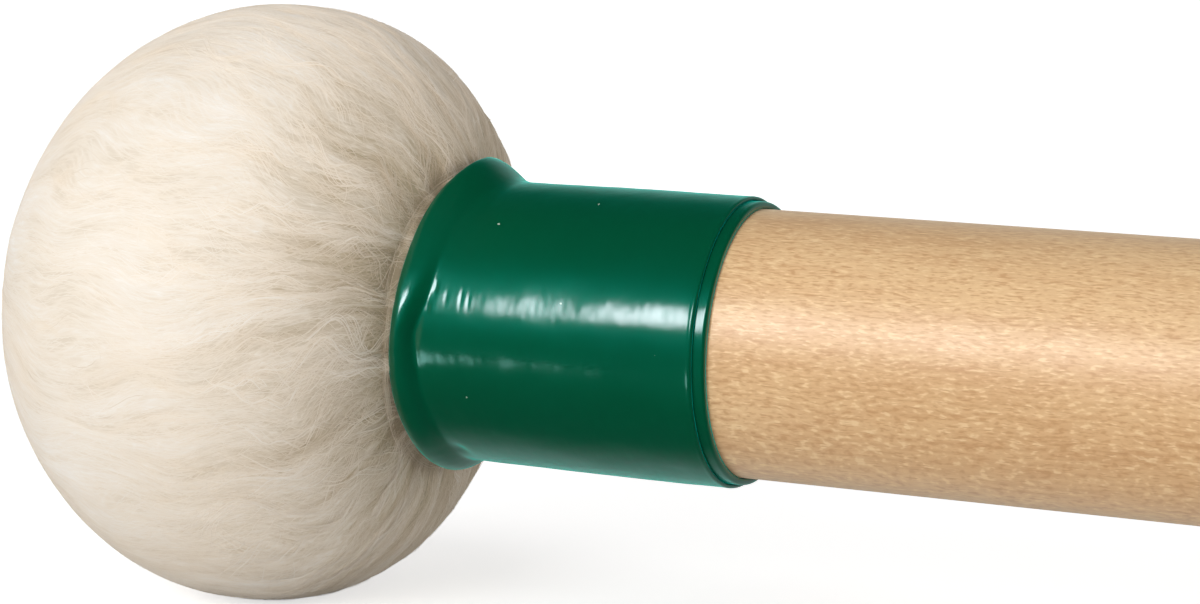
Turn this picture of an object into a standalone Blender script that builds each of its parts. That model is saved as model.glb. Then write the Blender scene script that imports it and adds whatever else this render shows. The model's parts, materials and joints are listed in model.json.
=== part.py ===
"""Timpani mallet with a gathered fleece head on a straight maple handle.

Every length is in metres. Each piece is turned or wound about the mallet's own axis, which
is the X axis of the empty mallet_axis: x = 0 is the shoulder that the core seats on, +X runs
along the handle to its butt and -X to the front of the head. The empty leans and lifts that
axis, so that the mallet lies on the plane z = 0 as it would on a table, on the widest ring
of its head and on the edge of its butt, with the middle of its length over the origin.
"""

import math

import bmesh
import bpy
from mathutils import Vector

# Handle
HANDLE_DIAMETER = 0.0160
HANDLE_LENGTH = 0.3434  # from the shoulder to the butt
BUTT_ROUND = 0.0035
TENON_CHAMFER = 0.0006
SHOULDER_STEP = 0.0010  # the seat round the tenon
NECK_RAMP = 0.0010  # slope from the turned neck up to the full handle
PILOT_DEPTH = 0.0140  # from the tenon's end

# Core and what holds it on the tenon
CORE_DIAMETER = 0.0204
CORE_LENGTH = 0.0166
CORE_ROUND = 0.0045
WEB_THICKNESS = 0.0024  # wood left between the tenon and the washer
WASHER_DIAMETER = 0.0092
WASHER_BORE = 0.0044
WASHER_THICKNESS = 0.0010
SCREW_DIAMETER = 0.0035
SCREW_LENGTH = 0.0160  # under the head
SCREW_PLAIN = 0.0050  # length of shank without thread
SCREW_POINT = 0.0018
SCREW_HEAD_DIAMETER = 0.0068
SCREW_HEAD_HEIGHT = 0.0018
SCREW_RECESS = 0.0002  # the head's depth below the core's front
THREAD_PITCH = 0.0015
THREAD_DEPTH = 0.0005
SLOT_WIDTH = 0.0009
SLOT_DEPTH = 0.0009

# Felt under the fleece
FELT_THICKNESS = 0.0031
FELT_BACK_THICKNESS = 0.0018

# Fleece: the backing and pile outside the felt
PILE_SIDE = 0.0053
PILE_FRONT = 0.00465
PILE_BACK = 0.00405
FRONT_FULLNESS = 1.95  # 2 is an ellipse, more is squarer
BACK_FULLNESS = 2.4
HEM_THICKNESS = 0.00088
HEM_MARGIN = 0.0005  # hem left past the gathering thread
NECK_TAPER = 0.0030  # where the gathered fleece draws in under the collar
GATHERS = 20
GATHER_DEPTH = 0.0004
GATHER_REACH = 0.78  # share of the head's radius where the gathers have died out

# Cord and thread at the neck
CORD_DIAMETER = 0.0007
CORD_SPACING = 0.00045  # free gap from turn to turn
CORD_TURNS = 4
CORD_COVER = 0.00015  # depth of the cord's outside below the handle's surface
THREAD_DIAMETER = 0.0005
KNOT_DIAMETER = 0.0008

# Collar: two layers of shrunk tube
INNER_SLEEVE_WALL = 0.0004
OUTER_SLEEVE_WALL = 0.0002
COLLAR_GRIP = 0.0075  # length of full handle under the outer sleeve
INNER_REVEAL = 0.00073  # inner sleeve showing past the outer one at the handle
INNER_SETBACK = 0.0005  # inner sleeve ending short of the outer one's lip
LIP_RISE = 0.00095
LIP_EXTRA_RISE = 0.0005  # added on the upper side, where more fleece lies under the lip
LIP_LENGTH = 0.0020
LIP_EXTRA_LENGTH = 0.0017
LIP_CREST = 0.3  # share of the lip's length from its edge to its highest ring
LIP_CURL = 0.15  # share of its rise that the edge curls back in
LIP_GAP = 0.0004  # from the lip's edge to the fleece

# Fits
FIT = 0.00012  # between nested pieces
SHRINK_FIT = 0.00005  # between a shrunk sleeve and what it grips

# Fineness of the turned surfaces
SEGMENTS = 2 * GATHERS
SCREW_SEGMENTS = 14
CORNER_STEPS = 3
DOME_STEPS = 7
NECK_STEPS = 4
SLEEVE_STEPS = 8
CORD_POINTS_PER_TURN = 24

# Radii worked out from the stack at the neck
HANDLE_RADIUS = HANDLE_DIAMETER / 2
NECK_RADIUS = HANDLE_RADIUS - CORD_COVER - CORD_DIAMETER - 2 * FIT - HEM_THICKNESS
TENON_RADIUS = NECK_RADIUS - SHOULDER_STEP
HEM_BORE = NECK_RADIUS + FIT
HEM_RADIUS = HEM_BORE + HEM_THICKNESS
PILOT_RADIUS = SCREW_DIAMETER / 2 + FIT
SLEEVE_RADIUS = HANDLE_RADIUS + 2 * SHRINK_FIT + INNER_SLEEVE_WALL + OUTER_SLEEVE_WALL

# Stations of the core
CORE_RADIUS = CORE_DIAMETER / 2
CORE_FACE_RADIUS = CORE_RADIUS - CORE_ROUND
CORE_MIDDLE = -CORE_LENGTH / 2
SCREW_SEAT = -CORE_LENGTH + SCREW_RECESS + SCREW_HEAD_HEIGHT
WASHER_FRONT = SCREW_SEAT + FIT
COUNTERBORE_FLOOR = WASHER_FRONT + WASHER_THICKNESS + FIT
TENON_SOCKET = -COUNTERBORE_FLOOR - WEB_THICKNESS
TENON_LENGTH = TENON_SOCKET - 3 * FIT

# The head's outside, from the core outwards
FELT_FIT = FIT + FELT_THICKNESS
CAVITY_FIT = FELT_FIT + FIT
CAVITY_BACK_FIT = 2 * FIT + FELT_BACK_THICKNESS
HEAD_RADIUS = CORE_RADIUS + CAVITY_FIT + PILE_SIDE
HEAD_FRONT = -CORE_LENGTH - CAVITY_FIT - PILE_FRONT
HEAD_BACK = CAVITY_BACK_FIT + PILE_BACK


def back_station(radius):
    """Where along the axis the back of the head has this radius."""
    share = 1 - (radius / HEAD_RADIUS) ** BACK_FULLNESS
    return CORE_MIDDLE + (HEAD_BACK - CORE_MIDDLE) * share ** (1 / BACK_FULLNESS)


# Stations along the neck and the collar
LIP_BORE = SLEEVE_RADIUS + LIP_RISE - OUTER_SLEEVE_WALL
COLLAR_START = back_station(LIP_BORE) + LIP_GAP
MOUTH_RADIUS = LIP_BORE - SHRINK_FIT - INNER_SLEEVE_WALL - 2 * FIT
HEM_START = COLLAR_START + NECK_TAPER
BINDING_START = HEM_START + CORD_DIAMETER
CORD_PITCH = CORD_DIAMETER + CORD_SPACING
BINDING_END = BINDING_START + CORD_TURNS * CORD_PITCH
THREAD_STATION = BINDING_END + CORD_DIAMETER / 2 + CORD_SPACING + THREAD_DIAMETER / 2
HEM_END = THREAD_STATION + THREAD_DIAMETER / 2 + HEM_MARGIN
NECK_END = HEM_END + 3 * FIT
COLLAR_END = NECK_END + NECK_RAMP + COLLAR_GRIP


def arc(centre, axial, radial, start, end, steps=CORNER_STEPS):
    """Points of an elliptical corner about centre, from one angle to another in degrees."""
    points = []
    for step in range(steps + 1):
        turn = math.radians(start + (end - start) * step / steps)
        x = centre[0] + axial * math.cos(turn)
        points.append((x, centre[1] + radial * math.sin(turn)))
    return points


def barrel(front, side, back, front_radius, back_radius):
    """The core's rounded outline grown by three thicknesses, as points (x, radius).

    It runs from front_radius on the front face, round both corners, to back_radius on the
    back face. A radius past the flat of a face starts part of the way round its corner.
    """
    centre_front = (CORE_ROUND - CORE_LENGTH, CORE_FACE_RADIUS)
    centre_back = (-CORE_ROUND, CORE_FACE_RADIUS)
    radial = CORE_ROUND + side

    def opening(radius):
        return math.degrees(math.asin(max(0.0, (radius - CORE_FACE_RADIUS) / radial)))

    outline = []
    if front_radius < CORE_FACE_RADIUS:
        outline.append((-CORE_LENGTH - front, front_radius))
    start = 180 - opening(front_radius)
    outline += arc(centre_front, CORE_ROUND + front, radial, start, 90)
    outline += arc(centre_back, CORE_ROUND + back, radial, 90, opening(back_radius))
    if back_radius < CORE_FACE_RADIUS:
        outline.append((back, back_radius))
    return outline


def lip_profile(share):
    """Height of the rolled lip, 0 to 1, at this share of its length from the edge."""
    if share < LIP_CREST:
        return 1 - LIP_CURL * (1 - share / LIP_CREST) ** 2
    if share < 1:
        return 0.5 + 0.5 * math.cos(math.pi * (share - LIP_CREST) / (1 - LIP_CREST))
    return 0.0


def lip_height(x, angle):
    """How far the sleeves stand out over their straight part, here and round the lip."""
    upper = max(0.0, math.cos(angle)) ** 2
    length = LIP_LENGTH + LIP_EXTRA_LENGTH * upper
    rise = LIP_RISE + LIP_EXTRA_RISE * upper
    return rise * lip_profile((x - COLLAR_START) / length)


def gather_depth(x, radius):
    """Depth of the valleys between gathers, which deepen towards the mouth of the collar."""
    if x < CORE_MIDDLE:
        return 0.0
    reach = HEAD_RADIUS * GATHER_REACH
    towards_neck = min(1.0, max(0.0, (reach - radius) / (reach - MOUTH_RADIUS)))
    along_neck = min(1.0, max(0.0, (HEM_START - x) / NECK_TAPER))
    return GATHER_DEPTH * towards_neck * along_neck


def head_outline():
    """Outside of the fleece from its front on the axis to the end of its hem."""
    outline = []
    for step in range(DOME_STEPS + 1):
        turn = math.pi / 2 * step / DOME_STEPS
        x = CORE_MIDDLE + (HEAD_FRONT - CORE_MIDDLE) * math.cos(turn) ** (2 / FRONT_FULLNESS)
        outline.append((x, HEAD_RADIUS * math.sin(turn) ** (2 / FRONT_FULLNESS)))
    mouth = math.acos((LIP_BORE / HEAD_RADIUS) ** (BACK_FULLNESS / 2))
    for step in range(1, DOME_STEPS + 1):
        turn = mouth * step / DOME_STEPS
        radius = HEAD_RADIUS * math.cos(turn) ** (2 / BACK_FULLNESS)
        outline.append((back_station(radius), radius))
    for step in range(NECK_STEPS + 1):
        share = step / NECK_STEPS
        fall = 0.5 + 0.5 * math.cos(math.pi * share)
        radius = HEM_RADIUS + (MOUTH_RADIUS - HEM_RADIUS) * fall
        outline.append((COLLAR_START + NECK_TAPER * share, radius))
    outline.append((HEM_END, HEM_RADIUS))
    return outline


def handle_outline():
    """Outside of the handle, from the bottom of the screw's pilot hole to the butt."""
    tenon_end = -TENON_LENGTH
    round_start = HANDLE_LENGTH - BUTT_ROUND
    return [
        (tenon_end + PILOT_DEPTH, 0),
        (tenon_end + PILOT_DEPTH - PILOT_RADIUS, PILOT_RADIUS),
        (tenon_end, PILOT_RADIUS),
        (tenon_end, TENON_RADIUS - TENON_CHAMFER),
        (tenon_end + TENON_CHAMFER, TENON_RADIUS),
        (0, TENON_RADIUS),
        (0, NECK_RADIUS),
        (NECK_END, NECK_RADIUS),
        (NECK_END + NECK_RAMP, HANDLE_RADIUS),
        *arc((round_start, HANDLE_RADIUS - BUTT_ROUND), BUTT_ROUND, BUTT_ROUND, 90, 0),
        (HANDLE_LENGTH, 0),
    ]


def resting_lean():
    """Angle between the mallet's axis and the table that the head and the butt both touch.

    A flat between two segments lies downwards, so each ring reaches down by its radius
    times this cosine. The table touches the head and the butt where the slope from a ring of
    the butt up to the head is steepest, for the ring of the butt that makes it least.
    """
    flat = math.cos(math.pi / SEGMENTS)
    head = [(x, r * flat) for x, r in head_outline() if x <= CORE_MIDDLE]
    butt = [(x, r * flat) for x, r in handle_outline() if x >= HANDLE_LENGTH - BUTT_ROUND]

    def slope(butt_point):
        x, r = butt_point
        return max((r_head - r) / (x - x_head) for x_head, r_head in head)

    return math.atan(min(slope(point) for point in butt))


def finish(name, red, green, blue, roughness, metallic=0.0):
    """A plain Principled material with this colour, roughness and metallic value."""
    material = bpy.data.materials.new(name)
    material.use_nodes = True
    shader = material.node_tree.nodes["Principled BSDF"]
    shader.inputs["Base Color"].default_value = (red, green, blue, 1)
    shader.inputs["Roughness"].default_value = roughness
    shader.inputs["Metallic"].default_value = metallic
    return material


def add_object(name, data, material, parent):
    """Links an object under the mallet's axis and gives it its material."""
    data.materials.append(material)
    made = bpy.data.objects.new(name, data)
    made.parent = parent
    bpy.context.scene.collection.objects.link(made)
    return made


def turned(name, outline, material, parent, closed=False, segments=SEGMENTS, warp=None):
    """A solid of revolution about the X axis, from points (x, radius).

    An open outline starts and ends on the axis. A closed one goes round a ring's section.
    warp(x, radius, angle, index) may move each point; angle is 0 upwards, +Z. A flat
    between two segments points down.
    """
    mesh = bmesh.new()
    rings = []
    for x, radius in outline:
        if radius == 0:
            rings.append([mesh.verts.new((x, 0, 0))])
            continue
        ring = []
        for index in range(segments):
            angle = 2 * math.pi * (index + 0.5) / segments
            at, out = warp(x, radius, angle, index) if warp else (x, radius)
            ring.append(mesh.verts.new((at, out * math.sin(angle), out * math.cos(angle))))
        rings.append(ring)
    pairs = list(zip(rings, rings[1:]))
    if closed:
        pairs.append((rings[-1], rings[0]))
    for first, second in pairs:
        for index in range(segments):
            after = (index + 1) % segments
            corners = [first[index % len(first)], first[after % len(first)]]
            corners += [second[after % len(second)], second[index % len(second)]]
            mesh.faces.new(list(dict.fromkeys(corners)))
    bmesh.ops.recalc_face_normals(mesh, faces=mesh.faces)
    data = bpy.data.meshes.new(name)
    mesh.to_mesh(data)
    mesh.free()
    data.shade_smooth()
    data.set_sharp_from_angle(angle=math.radians(30))
    return add_object(name, data, material, parent)


def make_handle(parent, maple):
    """Straight maple handle with a turned neck, a tenon with a pilot hole and a round butt."""
    return turned("handle", handle_outline(), maple, parent)


def make_core(parent, wood):
    """Rounded wooden core: a blind socket behind, and a counterbore for the washer in front."""
    counterbore = WASHER_DIAMETER / 2 + FIT
    socket = TENON_RADIUS + FIT
    screw_hole = WASHER_BORE / 2
    outline = barrel(0, 0, -FIT, counterbore, socket)
    outline += [
        (-TENON_SOCKET, socket),
        (-TENON_SOCKET, screw_hole),
        (COUNTERBORE_FLOOR, screw_hole),
        (COUNTERBORE_FLOOR, counterbore),
    ]
    return turned("head_core", outline, wood, parent, closed=True)


def make_washer(parent, steel):
    """Flat washer that spreads the screw's pull on the core."""
    back = COUNTERBORE_FLOOR - FIT
    bore = WASHER_BORE / 2
    rim = WASHER_DIAMETER / 2
    outline = [(WASHER_FRONT, bore), (WASHER_FRONT, rim), (back, rim), (back, bore)]
    return turned("core_washer", outline, steel, parent, closed=True)


def make_screw(parent, steel):
    """Slotted round-head wood screw through the washer and the core into the tenon."""
    tip = SCREW_SEAT + SCREW_LENGTH
    thread_start = SCREW_SEAT + SCREW_PLAIN
    thread_end = tip - SCREW_POINT
    root = SCREW_DIAMETER / 2 - THREAD_DEPTH
    head_radius = SCREW_HEAD_DIAMETER / 2
    head_rim = SCREW_SEAT - SCREW_HEAD_HEIGHT / 3
    rings_per_turn = 5

    outline = [(tip, 0), (thread_end, root)]
    rings = math.ceil((thread_end - thread_start) / THREAD_PITCH * rings_per_turn)
    step = (thread_end - thread_start) / rings
    outline += [(thread_end - step * ring, root) for ring in range(1, rings)]
    outline += [
        (thread_start, SCREW_DIAMETER / 2),
        (SCREW_SEAT, SCREW_DIAMETER / 2),
        (SCREW_SEAT, head_radius),
    ]
    dome = (head_rim, 0)
    outline += arc(dome, SCREW_HEAD_HEIGHT * 2 / 3, head_radius, 90, 180)[:-1]
    outline.append((SCREW_SEAT - SCREW_HEAD_HEIGHT, 0))

    def thread(x, radius, angle, _index):
        if not thread_start < x < thread_end:
            return x, radius
        turn = (x / THREAD_PITCH - angle / (2 * math.pi)) % 1
        crest = max(0.0, 1 - 3 * abs(turn - 0.5))
        return x, radius + THREAD_DEPTH * crest

    screw = turned(
        "core_screw", outline, steel, parent, segments=SCREW_SEGMENTS, warp=thread
    )
    bpy.ops.mesh.primitive_cube_add(size=1)
    slot = bpy.context.object
    slot.name = "slot_cutter"
    slot.parent = parent
    slot.location = (SCREW_SEAT - SCREW_HEAD_HEIGHT, 0, 0)
    slot.scale = (2 * SLOT_DEPTH, SLOT_WIDTH, 2 * SCREW_HEAD_DIAMETER)
    slot.hide_render = True
    slot.display_type = "WIRE"
    cut = screw.modifiers.new("slot", "BOOLEAN")
    cut.operation = "DIFFERENCE"
    cut.object = slot
    return screw


def make_front_pad(parent, felt):
    """Felt disc over the screw's head, level with the front of the liner."""
    back = -CORE_LENGTH - FIT
    front = -CORE_LENGTH - FELT_FIT
    outline = [(back, 0), (back, CORE_FACE_RADIUS), (front, CORE_FACE_RADIUS), (front, 0)]
    return turned("front_felt_pad", outline, felt, parent)


def make_liner(parent, felt):
    """Felt wrapped round the core, open in front for the pad and behind for the neck."""
    front_hole = CORE_FACE_RADIUS + FIT
    outside = barrel(FELT_FIT, FELT_FIT, FIT + FELT_BACK_THICKNESS, front_hole, HEM_BORE)
    inside = barrel(FIT, FIT, FIT, front_hole, HEM_BORE)
    outline = outside + inside[::-1]
    return turned("felt_liner", outline, felt, parent, closed=True)


def make_fleece(parent, wool):
    """Fleece drawn over the felt, gathered at the neck, with its hem along the neck."""
    outline = [(-CORE_LENGTH - CAVITY_FIT, 0)]
    outline += barrel(CAVITY_FIT, CAVITY_FIT, CAVITY_BACK_FIT, 0, HEM_BORE)[1:]
    outline.append((HEM_END, HEM_BORE))
    inner_points = len(outline)
    outline += head_outline()[::-1]
    outside = set(outline[inner_points:])

    def gathers(x, radius, _angle, index):
        if index % 2 and (x, radius) in outside:
            depth = gather_depth(x, radius)
            return x - depth, radius - depth
        return x, radius

    return turned("fleece_cover", outline, wool, parent, warp=gathers)


def make_gathering_thread(parent, linen):
    """Thread that draws the hem together: one ring with a knot on its upper side."""
    sides = 6
    thread_radius = THREAD_DIAMETER / 2
    ring_radius = HEM_RADIUS + FIT + thread_radius

    def knotted(x, radius, angle, _index):
        across = math.sin(angle / 2) * 2 * ring_radius / KNOT_DIAMETER
        knot = 1 + (KNOT_DIAMETER / THREAD_DIAMETER - 1) * math.exp(-across * across)
        out = HEM_RADIUS + FIT + thread_radius * knot
        middle = THREAD_STATION
        return middle + (x - middle) * knot, out + (radius - ring_radius) * knot

    turns = [2 * math.pi * side / sides for side in range(sides)]
    outline = [
        (THREAD_STATION + thread_radius * math.cos(t), ring_radius + thread_radius * math.sin(t))
        for t in turns
    ]
    return turned("gathering_thread", outline, linen, parent, closed=True, warp=knotted)


def make_binding(parent, linen):
    """Waxed cord wound round the hem in the handle's neck, as one unbroken tube."""
    count = CORD_TURNS * CORD_POINTS_PER_TURN + 1
    winding_radius = HEM_RADIUS + 2 * FIT + CORD_DIAMETER / 2
    points = []
    for index in range(count):
        share = index / (count - 1)
        angle = 2 * math.pi * index / CORD_POINTS_PER_TURN
        x = BINDING_START + (BINDING_END - BINDING_START) * share
        across = winding_radius * math.sin(angle)
        points.append(Vector((x, across, winding_radius * math.cos(angle))))

    half_turn = CORD_POINTS_PER_TURN // 2
    least = min(
        (point - other).length
        for index, point in enumerate(points)
        for other in points[index + half_turn :]
    )
    print(f"neck_binding: least gap to itself {(least - CORD_DIAMETER) * 1000:.2f} mm")

    curve = bpy.data.curves.new("neck_binding", "CURVE")
    curve.dimensions = "3D"
    curve.bevel_depth = CORD_DIAMETER / 2
    curve.bevel_resolution = 1
    curve.use_fill_caps = True
    spline = curve.splines.new("POLY")
    spline.points.add(count - 1)
    for point, place in zip(spline.points, points):
        point.co = (*place, 1)
    return add_object("neck_binding", curve, linen, parent)


def make_sleeve(name, parent, plastic, start, end, outer_radius, wall):
    """One layer of shrunk tube, straight on the handle and flared over the fleece."""
    lip_end = COLLAR_START + LIP_LENGTH + LIP_EXTRA_LENGTH
    spacing = (lip_end - start) / SLEEVE_STEPS
    stations = [start + spacing * step for step in range(SLEEVE_STEPS + 1)]
    stations.append(end)
    inside = [(x, outer_radius - wall) for x in stations]
    outside = [(x, outer_radius) for x in stations]

    def flare(x, radius, angle, _index):
        return x, radius + lip_height(x, angle)

    return turned(name, inside + outside[::-1], plastic, parent, closed=True, warp=flare)


def make_sleeves(parent, plastic):
    """The inner sleeve and the shorter outer sleeve over it."""
    inner_radius = SLEEVE_RADIUS - OUTER_SLEEVE_WALL - SHRINK_FIT
    inner_start = COLLAR_START + INNER_SETBACK
    inner_end = COLLAR_END + INNER_REVEAL
    make_sleeve(
        "inner_sleeve", parent, plastic, inner_start, inner_end, inner_radius, INNER_SLEEVE_WALL
    )
    make_sleeve(
        "outer_sleeve", parent, plastic, COLLAR_START, COLLAR_END, SLEEVE_RADIUS, OUTER_SLEEVE_WALL
    )


def make_axis():
    """The empty that every piece hangs from, leaned and lifted so that the mallet lies at rest."""
    lean = resting_lean()
    flat = math.cos(math.pi / SEGMENTS)
    outline = head_outline() + handle_outline()
    lowest = min(-x * math.sin(lean) - r * flat * math.cos(lean) for x, r in outline)
    top_edge = [x * math.cos(lean) + r * flat * math.sin(lean) for x, r in outline]
    low_edge = [x * math.cos(lean) - r * flat * math.sin(lean) for x, r in outline]
    middle = (min(top_edge + low_edge) + max(top_edge + low_edge)) / 2

    axis = bpy.data.objects.new("mallet_axis", None)
    axis.location = (-middle, 0, -lowest)
    axis.rotation_euler = (0, lean, 0)
    bpy.context.scene.collection.objects.link(axis)
    return axis


def main():
    """Builds the mallet from its handle outwards."""
    for old in list(bpy.data.objects):
        bpy.data.objects.remove(old)
    maple = finish("maple", 0.80, 0.54, 0.31, 0.45)
    core_wood = finish("core_wood", 0.62, 0.42, 0.25, 0.6)
    steel = finish("steel", 0.60, 0.60, 0.62, 0.35, metallic=1.0)
    felt = finish("felt", 0.62, 0.58, 0.52, 0.95)
    wool = finish("wool", 0.86, 0.77, 0.65, 0.95)
    linen = finish("linen", 0.72, 0.62, 0.45, 0.8)
    plastic = finish("green_plastic", 0.002, 0.10, 0.05, 0.22)

    axis = make_axis()
    make_handle(axis, maple)
    make_core(axis, core_wood)
    make_washer(axis, steel)
    make_screw(axis, steel)
    make_front_pad(axis, felt)
    make_liner(axis, felt)
    make_fleece(axis, wool)
    make_gathering_thread(axis, linen)
    make_binding(axis, linen)
    make_sleeves(axis, plastic)


main()
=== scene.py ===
"""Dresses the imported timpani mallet: combed fleece, a shrunk green collar and a maple handle.

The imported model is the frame. Every new surface is worked out in the mallet's own axis frame,
where x runs along the handle from the shoulder that the core seats on, and is then laid into
the world along the axis that the record's butt_face mount gives. Lengths are in metres.
"""

import json
import logging
import math
from dataclasses import dataclass, field
from enum import Enum

import bpy
import numpy as np
from mathutils import Euler, Matrix

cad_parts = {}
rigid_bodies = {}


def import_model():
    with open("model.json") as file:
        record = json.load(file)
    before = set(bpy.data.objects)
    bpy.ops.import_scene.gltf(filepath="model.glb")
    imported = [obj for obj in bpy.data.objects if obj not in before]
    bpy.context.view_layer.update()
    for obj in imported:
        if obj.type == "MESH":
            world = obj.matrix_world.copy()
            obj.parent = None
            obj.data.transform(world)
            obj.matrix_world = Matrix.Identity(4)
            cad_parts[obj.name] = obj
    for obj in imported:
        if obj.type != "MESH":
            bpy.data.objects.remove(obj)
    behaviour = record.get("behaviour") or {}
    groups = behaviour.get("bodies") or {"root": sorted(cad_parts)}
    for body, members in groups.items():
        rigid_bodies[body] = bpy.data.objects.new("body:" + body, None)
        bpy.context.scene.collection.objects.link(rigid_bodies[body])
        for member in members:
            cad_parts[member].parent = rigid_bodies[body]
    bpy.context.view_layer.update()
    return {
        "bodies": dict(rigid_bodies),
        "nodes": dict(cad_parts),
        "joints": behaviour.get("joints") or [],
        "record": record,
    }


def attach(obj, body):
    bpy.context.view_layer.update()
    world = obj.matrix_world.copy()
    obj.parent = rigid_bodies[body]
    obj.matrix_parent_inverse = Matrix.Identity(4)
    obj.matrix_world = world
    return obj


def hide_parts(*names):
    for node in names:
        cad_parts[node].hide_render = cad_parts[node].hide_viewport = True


LOG = logging.getLogger("mallet")
BODY = "root"
TURN = 2 * math.pi
HANDLE_LENGTH = 0.3434  # from the shoulder to the butt


class Lie(Enum):
    """How a family of wool fibres lies on the head."""

    COMBED = "combed"
    MATTED = "matted"
    HOOPED = "round the mouth of the collar"


@dataclass(frozen=True)
class Drift:
    """A smooth random field: plane waves of random direction, summed.

    The value at a point is the sum of cos(k . p + phase) over the waves, scaled to a spread of
    about one. The wave lengths lie around the given one, and z is stretched by a factor, so
    that the field runs in streaks.
    """

    wavelength: float
    seed: int
    stretch: float = 1.0
    waves: int = 36

    def at(self, points: np.ndarray) -> np.ndarray:
        """Value of the field.

        Args:
            points: places, with x, y and z along the last axis.

        Returns:
            One value for each place, mostly between -2 and 2.
        """
        rng = np.random.default_rng(self.seed)
        direction = rng.normal(size=(self.waves, 3))
        direction /= np.linalg.norm(direction, axis=1)[:, None]
        direction *= (TURN / self.wavelength / rng.uniform(0.7, 1.5, self.waves))[:, None]
        direction[:, 2] /= self.stretch
        phase = rng.uniform(0, TURN, self.waves)
        total = np.zeros(points.shape[:-1])
        for wave, start in zip(direction, phase):
            total += np.cos(points @ wave + start)
        return total * math.sqrt(2 / self.waves)


@dataclass(frozen=True)
class MalletAxis:
    """The mallet's own axis, laid into the world."""

    shoulder: np.ndarray
    along: np.ndarray
    side: np.ndarray
    over: np.ndarray

    @classmethod
    def from_record(cls, record: dict) -> "MalletAxis":
        """Axis through the butt_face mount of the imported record."""
        mount = next(item for item in record["mounts"] if item["name"] == "butt_face")
        along = np.array(mount["axis"], float)
        along /= np.linalg.norm(along)
        side = np.array([0.0, 1.0, 0.0])
        shoulder = np.array(mount["pos_m"], float) - along * HANDLE_LENGTH
        return cls(shoulder, along, side, np.cross(along, side))

    @property
    def lean(self) -> float:
        """Angle in radians by which the butt dips below the level."""
        return math.asin(-self.along[2])

    def place(self, x: np.ndarray, radius: np.ndarray, angle: np.ndarray) -> np.ndarray:
        """World points for stations x, radii and angles, where angle 0 is up.

        Each point is the shoulder + x along + radius (sin angle side + cos angle over).
        """
        x, radius, angle = np.broadcast_arrays(x, radius, angle)
        across = (radius * np.sin(angle))[..., None] * self.side
        across = across + (radius * np.cos(angle))[..., None] * self.over
        return self.shoulder + x[..., None] * self.along + across

    def reach(self, node: bpy.types.Object) -> tuple[float, float, float]:
        """First station, last station and largest radius of a CAD node."""
        count = len(node.data.vertices)
        flat = np.empty(count * 3)
        node.data.vertices.foreach_get("co", flat)
        matrix = np.array(node.matrix_world)
        world = flat.reshape(count, 3) @ matrix[:3, :3].T + matrix[:3, 3]
        local = world - self.shoulder
        x = local @ self.along
        radius = np.hypot(local @ self.side, local @ self.over)
        return float(x.min()), float(x.max()), float(radius.max())


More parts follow.
